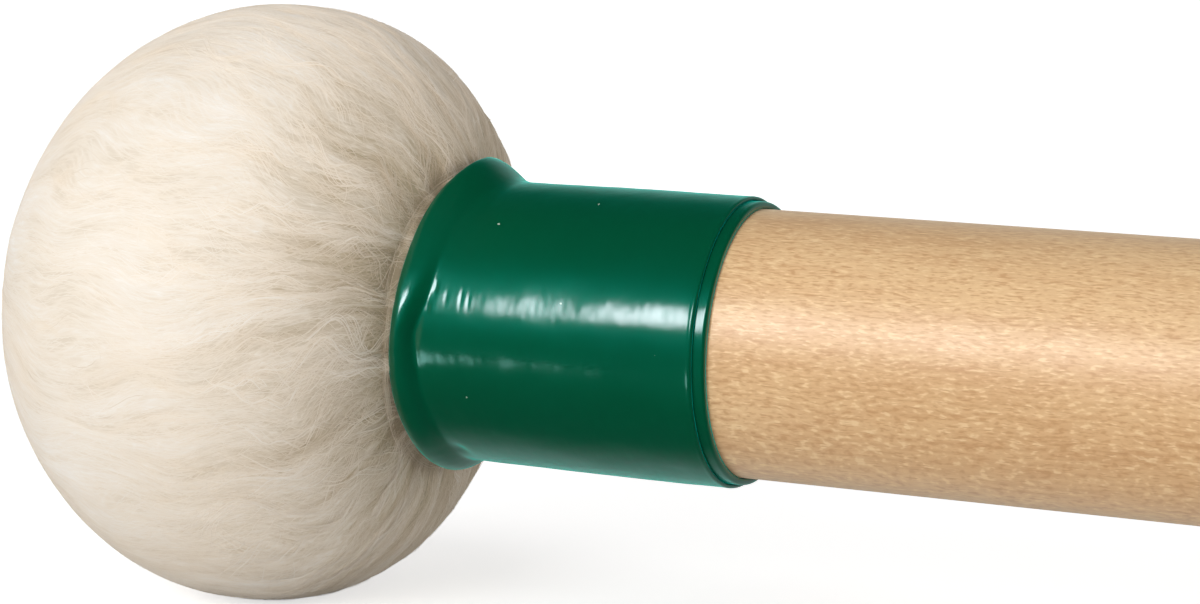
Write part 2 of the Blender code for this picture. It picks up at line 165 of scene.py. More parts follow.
class Mesh:
    """Puts arrays of points and faces into Blender meshes."""

    @staticmethod
    def build(
        name: str, points: np.ndarray, quads: np.ndarray, threes: np.ndarray, smooth: bool = True
    ) -> bpy.types.Object:
        """An object from points, four-sided faces and three-sided faces."""
        data = bpy.data.meshes.new(name)
        data.vertices.add(len(points))
        data.vertices.foreach_set("co", np.ascontiguousarray(points, np.float32).ravel())
        corners = np.concatenate([quads.ravel(), threes.ravel()]).astype(np.int32)
        data.loops.add(len(corners))
        data.loops.foreach_set("vertex_index", corners)
        starts = np.concatenate([
            np.arange(len(quads)) * 4,
            len(quads) * 4 + np.arange(len(threes)) * 3,
        ])
        data.polygons.add(len(starts))
        data.polygons.foreach_set("loop_start", starts.astype(np.int32))
        data.update(calc_edges=True)
        data.validate()
        if smooth:
            data.shade_smooth()
        else:
            data.shade_flat()
        made = bpy.data.objects.new(name, data)
        bpy.context.scene.collection.objects.link(made)
        return made

    @staticmethod
    def paint(made: bpy.types.Object, name: str, values: np.ndarray) -> None:
        """Stores a number or a vector for each point under an attribute's name."""
        vector = values.ndim > 1
        kind, key = ("FLOAT_VECTOR", "vector") if vector else ("FLOAT", "value")
        attribute = made.data.attributes.new(name, kind, "POINT")
        attribute.data.foreach_set(key, np.ascontiguousarray(values, np.float32).ravel())

    @classmethod
    def turned(cls, name: str, grid: np.ndarray, poles: bool) -> bpy.types.Object:
        """A closed surface from rings of points.

        Args:
            name: the object's name.
            grid: points with shape (rings, segments, 3).
            poles: True where the first and last rings close on the axis, False where the
                last ring joins the first and makes a ring's section.

        Returns:
            The object, with its faces pointing outwards where the rings run from -x to +x
            on the outside.
        """
        rings, segments = grid.shape[:2]
        index = np.arange(rings * segments).reshape(rings, segments)
        after = np.roll(index, -1, axis=1)
        first, second = index, after
        upper, lower = np.roll(index, -1, axis=0), np.roll(after, -1, axis=0)
        if poles:
            first, second, upper, lower = first[:-1], second[:-1], upper[:-1], lower[:-1]
        quads = np.stack([first, upper, lower, second], axis=-1).reshape(-1, 4)
        points = grid.reshape(-1, 3)
        threes = np.empty((0, 3), int)
        if poles:
            ends = np.stack([grid[0].mean(axis=0), grid[-1].mean(axis=0)])
            points = np.concatenate([points, ends])
            start = np.full(segments, rings * segments)
            threes = np.concatenate([
                np.stack([start, index[0], after[0]], axis=-1),
                np.stack([start + 1, after[-1], index[-1]], axis=-1),
            ])
        return cls.build(name, points, quads, threes)

    @classmethod
    def strands(
        cls, name: str, paths: np.ndarray, lift: np.ndarray, radius: np.ndarray, flat: float
    ) -> bpy.types.Object:
        """Three-sided closed tubes along many paths at once.

        Args:
            name: the object's name.
            paths: points with shape (strands, steps, 3).
            lift: outward direction of the surface at each point.
            radius: half width of the tube with shape (strands, steps).
            flat: height of the section as a share of its width.

        Returns:
            One object with a tube for each path, closed at both ends.
        """
        strands, steps = paths.shape[:2]
        tangent = np.gradient(paths, axis=1)
        tangent /= np.linalg.norm(tangent, axis=2)[..., None] + 1e-12
        across = np.cross(tangent, lift)
        across /= np.linalg.norm(across, axis=2)[..., None] + 1e-12
        outward = np.cross(across, tangent) * flat
        turn = (np.arange(3) * TURN / 3)[:, None]
        ring = np.cos(turn) * outward[:, :, None] + np.sin(turn) * across[:, :, None]
        points = paths[:, :, None] + ring * radius[:, :, None, None]
        index = np.arange(strands * steps * 3).reshape(strands, steps, 3)
        after = np.roll(index, -1, axis=2)
        quads = np.stack([index[:, :-1], after[:, :-1], after[:, 1:], index[:, 1:]], axis=-1)
        threes = np.concatenate([index[:, 0, ::-1], index[:, -1]])
        return cls.build(name, points.reshape(-1, 3), quads.reshape(-1, 4), threes, smooth=False)


class Nodes:
    """Short ways to add nodes to one node tree."""

    def __init__(self, tree: bpy.types.NodeTree) -> None:
        """Works on the given tree."""
        self.tree = tree

    def add(self, kind: str, **settings: object) -> bpy.types.Node:
        """Adds a node of this type and sets its properties."""
        node = self.tree.nodes.new(kind)
        for name, value in settings.items():
            setattr(node, name, value)
        return node

    def give(self, socket: bpy.types.NodeSocket, value: object) -> None:
        """Gives an input a value, or links it to the output that drives it."""
        if isinstance(value, bpy.types.NodeSocket):
            self.tree.links.new(value, socket)
        else:
            socket.default_value = value

    def feed(self, node: bpy.types.Node, **inputs: object) -> bpy.types.Node:
        """Gives a node's inputs by name, with _ for each space in a name."""
        for name, value in inputs.items():
            self.give(node.inputs[name.replace("_", " ")], value)
        return node

    def mix(self, share: object, low: object, high: object) -> bpy.types.NodeSocket:
        """Mixes two colours by a share and returns the result."""
        node = self.add("ShaderNodeMix", data_type="RGBA")
        for place, value in ((0, share), (6, low), (7, high)):
            self.give(node.inputs[place], value)
        return node.outputs[2]

    def sum(self, operation: str, *values: object) -> bpy.types.NodeSocket:
        """Does one Math operation on its values and returns the result."""
        node = self.add("ShaderNodeMath", operation=operation)
        for socket, value in zip(node.inputs, values):
            self.give(socket, value)
        return node.outputs[0]

    def ramp(
        self, value: object, low: float, high: float, bottom: float = 0.0, top: float = 1.0
    ) -> bpy.types.NodeSocket:
        """Maps low..high smoothly to bottom..top and returns the result."""
        node = self.add("ShaderNodeMapRange", interpolation_type="SMOOTHSTEP")
        self.feed(node, Value=value, From_Min=low, From_Max=high, To_Min=bottom, To_Max=top)
        return node.outputs["Result"]

    def stops(self, value: object, *stops: tuple) -> bpy.types.NodeSocket:
        """Runs a value through colours at given places and returns the colour."""
        node = self.add("ShaderNodeValToRGB")
        self.give(node.inputs["Fac"], value)
        for _ in stops[2:]:
            node.color_ramp.elements.new(0.5)
        for element, (place, colour) in zip(node.color_ramp.elements, stops):
            element.position = place
            element.color = colour
        return node.outputs["Color"]

    def noise(
        self, vector: object, scale: float, detail: float = 2.0, roughness: float = 0.5
    ) -> bpy.types.NodeSocket:
        """Noise at this many cells a metre, 0 to 1."""
        node = self.add("ShaderNodeTexNoise")
        self.feed(node, Vector=vector, Scale=scale, Detail=detail, Roughness=roughness)
        return node.outputs["Fac"]

    def scaled(self, vector: object, scale: tuple, turn: tuple = (0, 0, 0)) -> bpy.types.NodeSocket:
        """The vector scaled along each axis, then turned."""
        node = self.add("ShaderNodeMapping")
        self.feed(node, Vector=vector, Scale=scale, Rotation=turn)
        return node.outputs["Vector"]

    def shifted(self, vector: object, by: object, scale: float) -> bpy.types.NodeSocket:
        """The vector moved about, as far as by, by a noise of this many cells a metre."""
        node = self.add("ShaderNodeTexNoise")
        self.feed(node, Vector=vector, Scale=scale, Detail=1.0)
        moved = self.add("ShaderNodeVectorMath", operation="MULTIPLY_ADD")
        by = by if isinstance(by, bpy.types.NodeSocket) else (by, by, by)
        for socket, value in zip(moved.inputs, (node.outputs["Color"], by, vector)):
            self.give(socket, value)
        return moved.outputs[0]

    def ridge(self, value: object, width: float) -> bpy.types.NodeSocket:
        """1 where the value is 0.5, falling to 0 at this distance from it on both sides."""
        off = self.sum("ABSOLUTE", self.sum("SUBTRACT", value, 0.5))
        return self.ramp(off, width, 0.0)


class Groups:
    """Node groups for the effects that more than one finish uses."""

    @staticmethod
    def start(
        name: str, inputs: dict, outputs: tuple
    ) -> tuple[bpy.types.NodeTree, Nodes, bpy.types.Node, bpy.types.Node]:
        """A new group with named sockets.

        Args:
            name: the group's name.
            inputs: default value of each input, None for a vector.
            outputs: names of the outputs, all of them numbers.

        Returns:
            The tree, its helper, its input node and its output node.
        """
        tree = bpy.data.node_groups.new(name, "ShaderNodeTree")
        for label, value in inputs.items():
            kind = "NodeSocketVector" if value is None else "NodeSocketFloat"
            socket = tree.interface.new_socket(name=label, in_out="INPUT", socket_type=kind)
            if value is not None:
                socket.default_value = value
        for label in outputs:
            tree.interface.new_socket(name=label, in_out="OUTPUT", socket_type="NodeSocketFloat")
        nodes = Nodes(tree)
        return tree, nodes, nodes.add("NodeGroupInput"), nodes.add("NodeGroupOutput")

    @classmethod
    def long_grain(cls) -> bpy.types.NodeTree:
        """Wood grain along the x axis of its vector.

        Figure is broad and drawn out along x, Lines is the same at a finer pitch, Pores is the
        peaks of a still finer one, so that they come out as short dashes, and Rays are thin
        leaves that are long in y and short in x and z, so that they show as flecks where they
        lie in the surface and as short lines where they stand on edge.
        """
        name = "long_grain"
        if name in bpy.data.node_groups:
            return bpy.data.node_groups[name]
        inputs = {"Vector": None, "Pitch": 1.0}
        tree, nodes, given, result = cls.start(name, inputs, ("Figure", "Lines", "Pores", "Rays"))
        pitched = nodes.add("ShaderNodeVectorMath", operation="SCALE")
        nodes.give(pitched.inputs[0], given.outputs["Vector"])
        nodes.give(pitched.inputs["Scale"], given.outputs["Pitch"])
        vector = nodes.shifted(pitched.outputs[0], 0.0006, 180.0)
        figure = nodes.noise(nodes.scaled(vector, (14, 260, 260)), 1.0, 3.0)
        lines = nodes.noise(nodes.scaled(vector, (150, 2600, 2600)), 1.0, 3.0, 0.6)
        pores = nodes.noise(nodes.scaled(vector, (1300, 9000, 9000)), 1.0, 1.0)
        rays = nodes.noise(nodes.scaled(vector, (1700, 1900, 7500)), 1.0, 1.5)
        nodes.feed(result, Figure=figure, Lines=lines, Rays=rays)
        nodes.feed(result, Pores=nodes.ramp(pores, 0.57, 0.70))
        return tree

    @classmethod
    def handling(cls) -> bpy.types.NodeTree:
        """Uneven gloss: cloudy patches of rubbed and unrubbed surface."""
        name = "handling"
        if name in bpy.data.node_groups:
            return bpy.data.node_groups[name]
        inputs = {"Vector": None, "Low": 0.2, "High": 0.4}
        tree, nodes, given, result = cls.start(name, inputs, ("Roughness",))
        cloud = nodes.noise(given.outputs["Vector"], 160.0, 3.0)
        spread = nodes.add("ShaderNodeMapRange")
        nodes.feed(spread, Value=cloud, From_Min=0.35, From_Max=0.65)
        nodes.feed(spread, To_Min=given.outputs["Low"], To_Max=given.outputs["High"])
        nodes.feed(result, Roughness=spread.outputs["Result"])
        return tree

    @classmethod
    def fibre_mottle(cls) -> bpy.types.NodeTree:
        """Matted fibre: two sizes of blotch and a fine tangle, for wool, felt and cord."""
        name = "fibre_mottle"
        if name in bpy.data.node_groups:
            return bpy.data.node_groups[name]
        inputs = {"Vector": None, "Scale": 400.0}
        tree, nodes, given, result = cls.start(name, inputs, ("Blotch", "Tangle"))
        blotch = nodes.add("ShaderNodeTexNoise")
        tangle = nodes.add("ShaderNodeTexNoise")
        finer = nodes.sum("MULTIPLY", given.outputs["Scale"], 6.0)
        nodes.feed(blotch, Vector=given.outputs["Vector"], Scale=given.outputs["Scale"])
        nodes.feed(blotch, Detail=4.0, Roughness=0.6)
        nodes.feed(tangle, Vector=given.outputs["Vector"], Scale=finer)
        nodes.feed(tangle, Detail=3.0, Roughness=0.7, Distortion=1.2)
        nodes.feed(result, Blotch=blotch.outputs["Fac"], Tangle=tangle.outputs["Fac"])
        return tree

    @classmethod
    def combed_streaks(cls) -> bpy.types.NodeTree:
        """Fine wool laid along the z axis of its vector.

        Fine is two crossing sets of thin lines: each is the ridge of a noise drawn out along
        z, whose lines wander as far as Curl by a noise of their own. Locks is the same kind of
        noise at a broader pitch, and Frizz is the ridge of a twisted noise, so that its lines
        run like curled hair.
        """
        name = "combed_streaks"
        if name in bpy.data.node_groups:
            return bpy.data.node_groups[name]
        inputs = {"Vector": None, "Curl": 0.001}
        tree, nodes, given, result = cls.start(name, inputs, ("Fine", "Locks", "Frizz"))
        sets = []
        for way, wide, fine in ((1, 240.0, 3600), (-1, 190.0, 2900)):
            by = nodes.sum("MULTIPLY", given.outputs["Curl"], way)
            lay = nodes.shifted(given.outputs["Vector"], by, wide)
            lines = nodes.noise(nodes.scaled(lay, (fine, fine, fine / 13)), 1.0, 1.0, 0.5)
            sets.append(nodes.ridge(lines, 0.10))
        locks = nodes.noise(nodes.scaled(lay, (1000, 1000, 230)), 1.0, 3.0, 0.65)
        twisted = nodes.add("ShaderNodeTexNoise")
        nodes.feed(twisted, Vector=nodes.scaled(lay, (1100, 1100, 420)), Scale=1.0, Detail=1.0)
        nodes.feed(twisted, Distortion=2.2)
        both = nodes.sum("MULTIPLY", nodes.sum("ADD", *sets), 0.5)
        frizz = nodes.ridge(twisted.outputs["Fac"], 0.05)
        nodes.feed(result, Fine=both, Locks=locks, Frizz=frizz)
        return tree


@dataclass(frozen=True)
class Finish:
    """What every finish shares: its name and the tree that its material is built in."""

    name: str

    def start(self) -> tuple[Nodes, bpy.types.Node, bpy.types.NodeSocket, bpy.types.Material]:
        """The helper, Principled shader and Object coordinates of a new material, and it."""
        material = bpy.data.materials.new(self.name)
        material.use_nodes = True
        nodes = Nodes(material.node_tree)
        shader = material.node_tree.nodes["Principled BSDF"]
        place = nodes.add("ShaderNodeTexCoord")
        return nodes, shader, place.outputs["Object"], material

    @staticmethod
    def group(nodes: Nodes, tree: bpy.types.NodeTree, **inputs: object) -> bpy.types.NodeOutputs:
        """Places a node group in a material, feeds its inputs and returns its outputs."""
        return nodes.feed(nodes.add("ShaderNodeGroup", node_tree=tree), **inputs).outputs

    @staticmethod
    def bump(nodes: Nodes, shader: bpy.types.Node, height: object, distance: float) -> None:
        """Drives the shader's normal with a height."""
        node = nodes.add("ShaderNodeBump")
        nodes.feed(node, Height=height, Distance=distance)
        nodes.feed(shader, Normal=node.outputs["Normal"])


@dataclass(frozen=True)
class WoolFinish(Finish):
    """Cream wool: brownish painted shade in the depth of the pile, darker painted shade at the mouth
    of the collar, cream on it and white at its tips.
    """

    # painted shade: the darkest, where the wool meets the lip of the collar
    mouth_shade: tuple = (0.50, 0.405, 0.275, 1)
    # painted shade: brownish, in the depth of the pile, between the gathers and at the neck
    depth: tuple = (0.60, 0.485, 0.33, 1)
    cream: tuple = (0.905, 0.815, 0.695, 1)
    tip: tuple = (0.975, 0.93, 0.865, 1)
    sheen: float = 0.1
    combed: bool = False

    def material(self) -> bpy.types.Material:
        """Builds the material, which reads the tone and combed place that wool is given.

        Returns:
            The material. With combed set it also draws the fine laid fibres of the fleece.
        """
        nodes, shader, place, material = self.start()
        tone = nodes.add("ShaderNodeAttribute", attribute_name="tone").outputs["Fac"]
        if self.combed:
            lay = nodes.add("ShaderNodeAttribute", attribute_name="comb").outputs["Vector"]
            split = nodes.feed(nodes.add("ShaderNodeSeparateXYZ"), Vector=lay)
            neck = nodes.ramp(split.outputs["Z"], 0.022, 0.044)
            curl = nodes.sum("MULTIPLY_ADD", neck, 0.0022, 0.0008)
            streaks = self.group(nodes, Groups.combed_streaks(), Vector=lay, Curl=curl)
            # The locks and lines darken and lighten the tone more towards the neck; their dark side
            # is partly painted shade between the gathered locks.
            deep = nodes.sum("MULTIPLY_ADD", neck, 0.35, 0.70)
            locks = nodes.sum("MULTIPLY", nodes.sum("SUBTRACT", streaks["Locks"], 0.5), deep)
            lines = nodes.sum("MULTIPLY", nodes.sum("SUBTRACT", streaks["Fine"], 0.5), deep)
            frizz = nodes.sum("MULTIPLY", streaks["Frizz"], neck)
            tone = nodes.sum("ADD", tone, locks)
            tone = nodes.sum("MULTIPLY_ADD", lines, 0.30, tone)
            tone = nodes.sum("MULTIPLY_ADD", frizz, 0.12, tone)
            self.bump(nodes, shader, streaks["Fine"], 0.000003)
        # The two lowest stops are painted shade: first at the collar's mouth, then in the pile.
        dark = ((0.0, self.mouth_shade), (0.06, self.depth))
        colour = nodes.stops(tone, *dark, (0.65, self.cream), (1.0, self.tip))
        nodes.feed(shader, Base_Color=colour, Roughness=0.9, Specular_IOR_Level=0.2)
        nodes.feed(shader, Sheen_Weight=self.sheen, Sheen_Roughness=0.5)
        return material


@dataclass(frozen=True)
class PlasticFinish(Finish):
    """Glossy shrunk tube: deep green under a clear skin, with a few grains of dust."""

    colour: tuple = (0.0, 0.087, 0.034, 1)
    dust: tuple = (0.5, 0.6, 0.5, 1)
    peel: float = 0.000006

    def material(self) -> bpy.types.Material:
        """Builds the material."""
        nodes, shader, place, material = self.start()
        worn = self.group(nodes, Groups.handling(), Vector=place, Low=0.36, High=0.46)
        wrinkles = nodes.noise(nodes.scaled(place, (2600, 900, 900)), 1.0, 3.0, 0.6)
        cloud = nodes.noise(place, 120.0, 2.0)
        rubbed = nodes.noise(nodes.scaled(place, (1400, 700, 700)), 1.0, 4.0, 0.65)
        specks = nodes.ramp(nodes.noise(place, 2600.0, 0.0), 0.905, 0.912)
        darker = tuple(value * 0.86 for value in self.colour[:3]) + (1,)
        colour = nodes.mix(cloud, darker, self.colour)
        nodes.feed(shader, Base_Color=nodes.mix(specks, colour, self.dust))
        nodes.feed(shader, Roughness=worn["Roughness"], IOR=1.5)
        nodes.feed(shader, Specular_Tint=(0.0, 1.0, 0.82, 1))
        nodes.feed(shader, Coat_Weight=nodes.ramp(rubbed, 0.3, 0.6, 0.7, 1.0))
        nodes.feed(shader, Coat_Roughness=0.13, Coat_IOR=1.5)
        nodes.feed(shader, Sheen_Weight=0.85, Sheen_Roughness=0.3, Sheen_Tint=(0.0, 1.0, 0.8, 1))
        self.bump(nodes, shader, wrinkles, self.peel)
        return material


@dataclass(frozen=True)
class MapleFinish(Finish):
    """Oiled maple: pale, with long lines, short pore dashes and small bright ray flecks."""

    lean: float = 0.0
    turn: float = 0.75  # radians from level to the leaves of its rays
    pale: tuple = (0.94, 0.67, 0.37, 1)
    body: tuple = (0.79, 0.50, 0.245, 1)
    deep: tuple = (0.61, 0.315, 0.13, 1)
    pitch: float = 1.0
    gloss: tuple = (0.42, 0.55)
    coat: float = 0.6

    def material(self) -> bpy.types.Material:
        """Builds the material, whose grain runs along the leaning handle."""
        nodes, shader, place, material = self.start()
        level = nodes.scaled(place, (1, 1, 1), (0, -self.lean, 0))
        along = nodes.scaled(level, (1, 1, 1), (self.turn, 0, 0))
        grain = self.group(nodes, Groups.long_grain(), Vector=along, Pitch=self.pitch)
        low, high = self.gloss
        worn = self.group(nodes, Groups.handling(), Vector=place, Low=low, High=high)
        colour = nodes.mix(nodes.ramp(grain["Lines"], 0.35, 0.75, 0.0, 0.6), self.body, self.deep)
        colour = nodes.mix(nodes.ramp(grain["Figure"], 0.35, 0.65, 0.0, 0.40), colour, self.pale)
        colour = nodes.mix(nodes.ramp(grain["Rays"], 0.52, 0.72, 0.0, 0.85), colour, self.pale)
        colour = nodes.mix(nodes.ramp(grain["Rays"], 0.46, 0.28, 0.0, 0.7), colour, self.deep)
        pores = nodes.sum("MULTIPLY", grain["Pores"], 0.7)
        colour = nodes.mix(pores, colour, self.deep)
        nodes.feed(shader, Base_Color=colour, Roughness=worn["Roughness"])
        nodes.feed(shader, Coat_Weight=self.coat, Coat_Roughness=0.38)
        nodes.feed(shader, Sheen_Weight=0.55, Sheen_Roughness=0.5, Sheen_Tint=(1.0, 0.85, 0.66, 1))
        self.bump(nodes, shader, grain["Lines"], 0.00002)
        return material


@dataclass(frozen=True)
class SteelFinish(Finish):
    """Zinc-plated steel with turning lines."""

    colour: tuple = (0.60, 0.60, 0.62, 1)

    def material(self) -> bpy.types.Material:
        """Builds the material."""
        nodes, shader, place, material = self.start()
        worn = self.group(nodes, Groups.handling(), Vector=place, Low=0.25, High=0.45)
        lines = nodes.noise(nodes.scaled(place, (6000, 300, 300)), 1.0, 2.0)
        dull = tuple(value * 0.8 for value in self.colour[:3]) + (1,)
        nodes.feed(shader, Base_Color=nodes.mix(lines, dull, self.colour), Metallic=1.0)
        nodes.feed(shader, Roughness=worn["Roughness"])
        self.bump(nodes, shader, lines, 0.00001)
        return material


@dataclass(frozen=True)
class FeltFinish(Finish):
    """Felt or waxed linen: one colour broken up by matted fibre."""

    light: tuple = (0.66, 0.62, 0.56, 1)
    dark: tuple = (0.50, 0.46, 0.40, 1)
    scale: float = 500.0
    relief: float = 0.0001

    def material(self) -> bpy.types.Material:
        """Builds the material."""
        nodes, shader, place, material = self.start()
        mottle = self.group(nodes, Groups.fibre_mottle(), Vector=place, Scale=self.scale)
        colour = nodes.mix(mottle["Blotch"], self.dark, self.light)
        nodes.feed(shader, Base_Color=colour, Roughness=0.9, Sheen_Weight=0.3)
        self.bump(nodes, shader, mottle["Tangle"], self.relief)
        return material


@dataclass
class Dresser:
    """Gives a piece its material, attaches it to the mallet's body and hides the CAD nodes that it
    replaces.
    """

    frame: dict

    def dress(
        self, made: bpy.types.Object, material: bpy.types.Material, slot: str, *nodes: str
    ) -> bpy.types.Object:
        """Dresses a new piece that stands for CAD nodes.

        Args:
            made: the new piece.
            material: its finish.
            slot: the record's material slot that it belongs to. Not used.
            nodes: the CAD nodes that it replaces.

        Returns:
            The same piece.
        """
        made.data.materials.clear()
        made.data.materials.append(material)
        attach(made, BODY)
        if nodes:
            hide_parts(*nodes)
        LOG.info("%s: %d faces", made.name, len(made.data.polygons))
        return made

    def refinish(self, node: str, material: bpy.types.Material) -> None:
        """Gives a CAD node that stays its better material."""
        for place in self.frame["nodes"][node].material_slots:
            place.material = material
        LOG.info("%s keeps its solid", node)


@dataclass(frozen=True)
class FibreFamily:
    """One kind of loose fibre on the fleece.

    Attributes: name, lie, count, length (shortest and longest), radius (half width in the
    middle), seed, steps (points on a fibre), spread (turn from the combed lines, radians),
    bend (how far it curves), lift (height of its middle), flat (height of its section by
    width), paler (tone over the fleece's), even (share of that tone which the front gets),
    to_neck (0 even over the head, 1 near the collar), bunch (fibres that keep together),
    curl (how far it waves from side to side).
    """

    name: str
    lie: Lie
    count: int
    length: tuple
    radius: float
    seed: int
    steps: int = 8
    spread: float = 0.16
    bend: float = 0.35
    lift: float = 0.00002
    flat: float = 0.12
    paler: float = 0.05
    even: float = 0.45
    to_neck: float = 0.0
    bunch: int = 1
    curl: float = 0.00012


@dataclass
class FleeceHead:
    """The gathered fleece: its backing and pile as one closed form, and its fibres."""

    axis: MalletAxis
    front: float
    hem_end: float
    radius: float
    equator: float
    fleece: bpy.types.Material
    fibre: bpy.types.Material
    back: float = 0.00609  # where the back of the head would reach the axis
    front_fullness: float = 1.95
    back_fullness: float = 2.4
    mouth: float = 0.00527  # station of the collar's lip
    neck_radius: float = 0.00936
    hem_radius: float = 0.00703
    hem_bore: float = 0.00615
    neck_taper: float = 0.0030
    cavity_front: float = -0.01984
    cavity_radius: float = 0.01354
    cavity_back: float = 0.00204
    cavity_round: float = 0.0078
    segments: int = 380
    dome_rings: int = 100
    rear_rings: int = 96
    outline: np.ndarray = field(init=False)
    arc: np.ndarray = field(init=False)
    widest: float = field(init=False)
    last: float = field(init=False)

    def __post_init__(self) -> None:
        """Works out the outside outline, its length and the arcs of equator and mouth."""
        self.outline = self._outside()
        steps = np.hypot(*np.diff(self.outline, axis=0).T)
        self.arc = np.concatenate([[0.0], np.cumsum(steps)])
        self.widest = self.arc[self.dome_rings - 1]
        self.last = self.arc[self.dome_rings + self.rear_rings - 1]

    def _outside(self) -> np.ndarray:
        """Outside outline (x, radius) from the front on the axis to the hem.

        Front and back are quarters of superellipses about the equator, and under the lip
        the radius falls to the hem's by a parabola.
        """
        turn = np.linspace(0.004, math.pi / 2, self.dome_rings)
        x = self.equator + (self.front - self.equator) * np.cos(turn) ** (2 / self.front_fullness)
        dome = np.stack([x, self.radius * np.sin(turn) ** (2 / self.front_fullness)], axis=1)
        last = math.acos((self.neck_radius / self.radius) ** (self.back_fullness / 2))
        turn = np.linspace(0, last, self.rear_rings + 1)[1:]
        radius = self.radius * np.cos(turn) ** (2 / self.back_fullness)
        x = self.equator + (self.back - self.equator) * np.sin(turn) ** (2 / self.back_fullness)
        rear = np.stack([x, radius], axis=1)
        share = np.linspace(0, 1, 20)[1:]
        start = rear[-1]
        x = start[0] + (self.mouth + self.neck_taper - start[0]) * share
        radius = self.hem_radius + (start[1] - self.hem_radius) * (1 - share) ** 2
        neck = np.stack([x, radius], axis=1)
        hem = np.array([[self.hem_end, self.hem_radius]])
        return np.concatenate([dome, rear, neck, hem])

    def _inside(self) -> np.ndarray:
        """Outline of the cavity (x, radius) from the hem's end to the front on the axis."""
        turn = np.linspace(0, math.pi / 2, 12)
        flat = self.cavity_radius - self.cavity_round
        corner = flat + self.cavity_round * np.sin(turn)
        rear = np.stack([self.cavity_back - 0.0064 * (1 - np.cos(turn)), corner], axis=1)
        x = self.cavity_front + self.cavity_round * (1 - np.sin(turn))
        fore = np.stack([x, flat + self.cavity_round * np.cos(turn)], axis=1)
        rear = rear[rear[:, 1] > self.hem_bore]
        ends = np.array([[self.hem_end, self.hem_bore], [self.cavity_back, self.hem_bore]])
        return np.concatenate([ends, rear, fore, [[self.cavity_front, 0.0002]]])

    def station(self, arc: np.ndarray) -> tuple[np.ndarray, np.ndarray]:
        """Station and radius at a length along the outline."""
        x = np.interp(arc, self.arc, self.outline[:, 0])
        return x, np.interp(arc, self.arc, self.outline[:, 1])

    def outward(self, arc: np.ndarray, angle: np.ndarray) -> np.ndarray:
        """Unit direction out of the surface there."""
        step = 0.0002
        x0, r0 = self.station(arc - step)
        x1, r1 = self.station(arc + step)
        along, out = -(r1 - r0), x1 - x0
        size = np.hypot(along, out) + 1e-12
        origin = self.axis.place(np.zeros_like(arc), np.zeros_like(arc), angle)
        return self.axis.place(along / size, out / size, angle) - origin

    def surface(self, arc: np.ndarray, angle: np.ndarray, height: np.ndarray) -> np.ndarray:
        """World points at a height over the outline of a head that isn't quite true.

        The wool is pushed up to the lip where it is tall, leans back over the handle a little
        on top, and is thinner low at the back.
        """
        x, radius = self.station(arc)
        off = np.angle(np.exp(1j * (angle + 0.10)))
        hidden = np.clip((arc - self.last) / (self.arc[-1] - self.last), 0, 1)
        puff = 0.0009 * np.exp(-((off / 0.55) ** 2)) * self.neckward(arc) ** 6 * (1 - hidden)
        neck = self.neckward(arc)
        high = np.maximum(radius * np.cos(angle) / self.radius, -0.5)
        askew = (0.00027 + 0.00045 * high) * (1 - neck ** 10)
        thin = 0.00075 * neck ** 5 * np.clip(-1.2 * np.cos(angle), 0, 1) * (1 - hidden)
        over = self.outward(arc, angle) * (height - thin)[..., None]
        return self.axis.place(x + puff + askew, radius, angle) + over

    def neckward(self, arc: np.ndarray) -> np.ndarray:
        """0 from the equator forwards, rising to 1 at the mouth of the collar."""
        return np.clip((arc - self.widest) / (self.last - self.widest), 0, 1)

    def comb(self, arc: np.ndarray, combed: np.ndarray) -> np.ndarray:
        """Points on a cylinder as wide as the head: round by the angle, up by the arc."""
        around = self.radius * np.cos(combed), self.radius * np.sin(combed)
        return np.stack([*around, arc], axis=-1)

    def wander(self, arc: np.ndarray, angle: np.ndarray) -> np.ndarray:
        """How far round the combed lines stray from the meridians, in radians."""
        points = self.comb(arc, angle)
        wide = Drift(0.022, 11).at(points)
        close = Drift(0.008, 12).at(points)
        waves = Drift(0.0042, 13).at(points) * self.neckward(arc)
        return (0.0012 * wide + 0.00045 * close + 0.00020 * waves) / self.radius

    def locks(self, arc: np.ndarray, combed: np.ndarray) -> tuple[np.ndarray, np.ndarray]:
        """The locks and gathers of the fleece.

        Args:
            arc: lengths along the outline.
            combed: angles of the combed lines.

        Returns:
            Height over the outline in metres, and tone, where 0.75 is cream. The tone holds painted
            shade: darker towards the back, the collar, the partings and the mouth.
        """
        neck = self.neckward(arc)
        points = self.comb(arc, combed)
        lock = Drift(0.0022, 21, stretch=4.0).at(points)
        fine = Drift(0.0012, 22, stretch=5.0).at(points)
        gather = Drift(0.0062, 23, stretch=3.5).at(points)
        soft = Drift(0.0100, 24, stretch=1.6).at(points)
        calm = np.clip(arc / 0.012, 0, 1) ** 2
        height = 0.00002 * soft + 0.000004 * lock
        height = height + neck ** 1.6 * (0.00003 * lock + 0.00004 * gather + 0.00001 * fine)
        # Painted shade: the tone falls towards the back of the head, much more towards the collar,
        # along the partings and most at the mouth beside the lip.
        tone = 0.75 + 0.035 * soft + 0.035 * lock - 0.10 * (arc / self.last) ** 2
        tone = tone - 0.53 * neck ** 2 - 0.30 * self.parting_shade(arc, combed)
        tone = tone - 0.16 * neck ** 30
        # Lock and gather streaks, stronger towards the neck; their dark side is partly painted shade
        # between the gathers.
        tone = tone + neck * (0.04 * lock + 0.04 * gather + 0.02 * fine)
        return height * calm, tone

    def parting_shade(self, arc: np.ndarray, combed: np.ndarray) -> np.ndarray:
        """1 on the thin lines where the gathers part, which run down into the collar, where the tone
        is darkened as painted shade in the creases.
        """
        neck = self.neckward(arc)
        _, width = self.station(arc)
        lines = np.zeros_like(combed)
        for place, begin in ((-2.3, 0.5), (-1.36, 0.42), (0.7, 0.5), (2.1, 0.45)):
            off = np.angle(np.exp(1j * (combed - place))) * width / 0.00013
            lines = lines + np.exp(-off ** 2) * np.clip((neck - begin) / 0.15, 0, 1)
        return lines

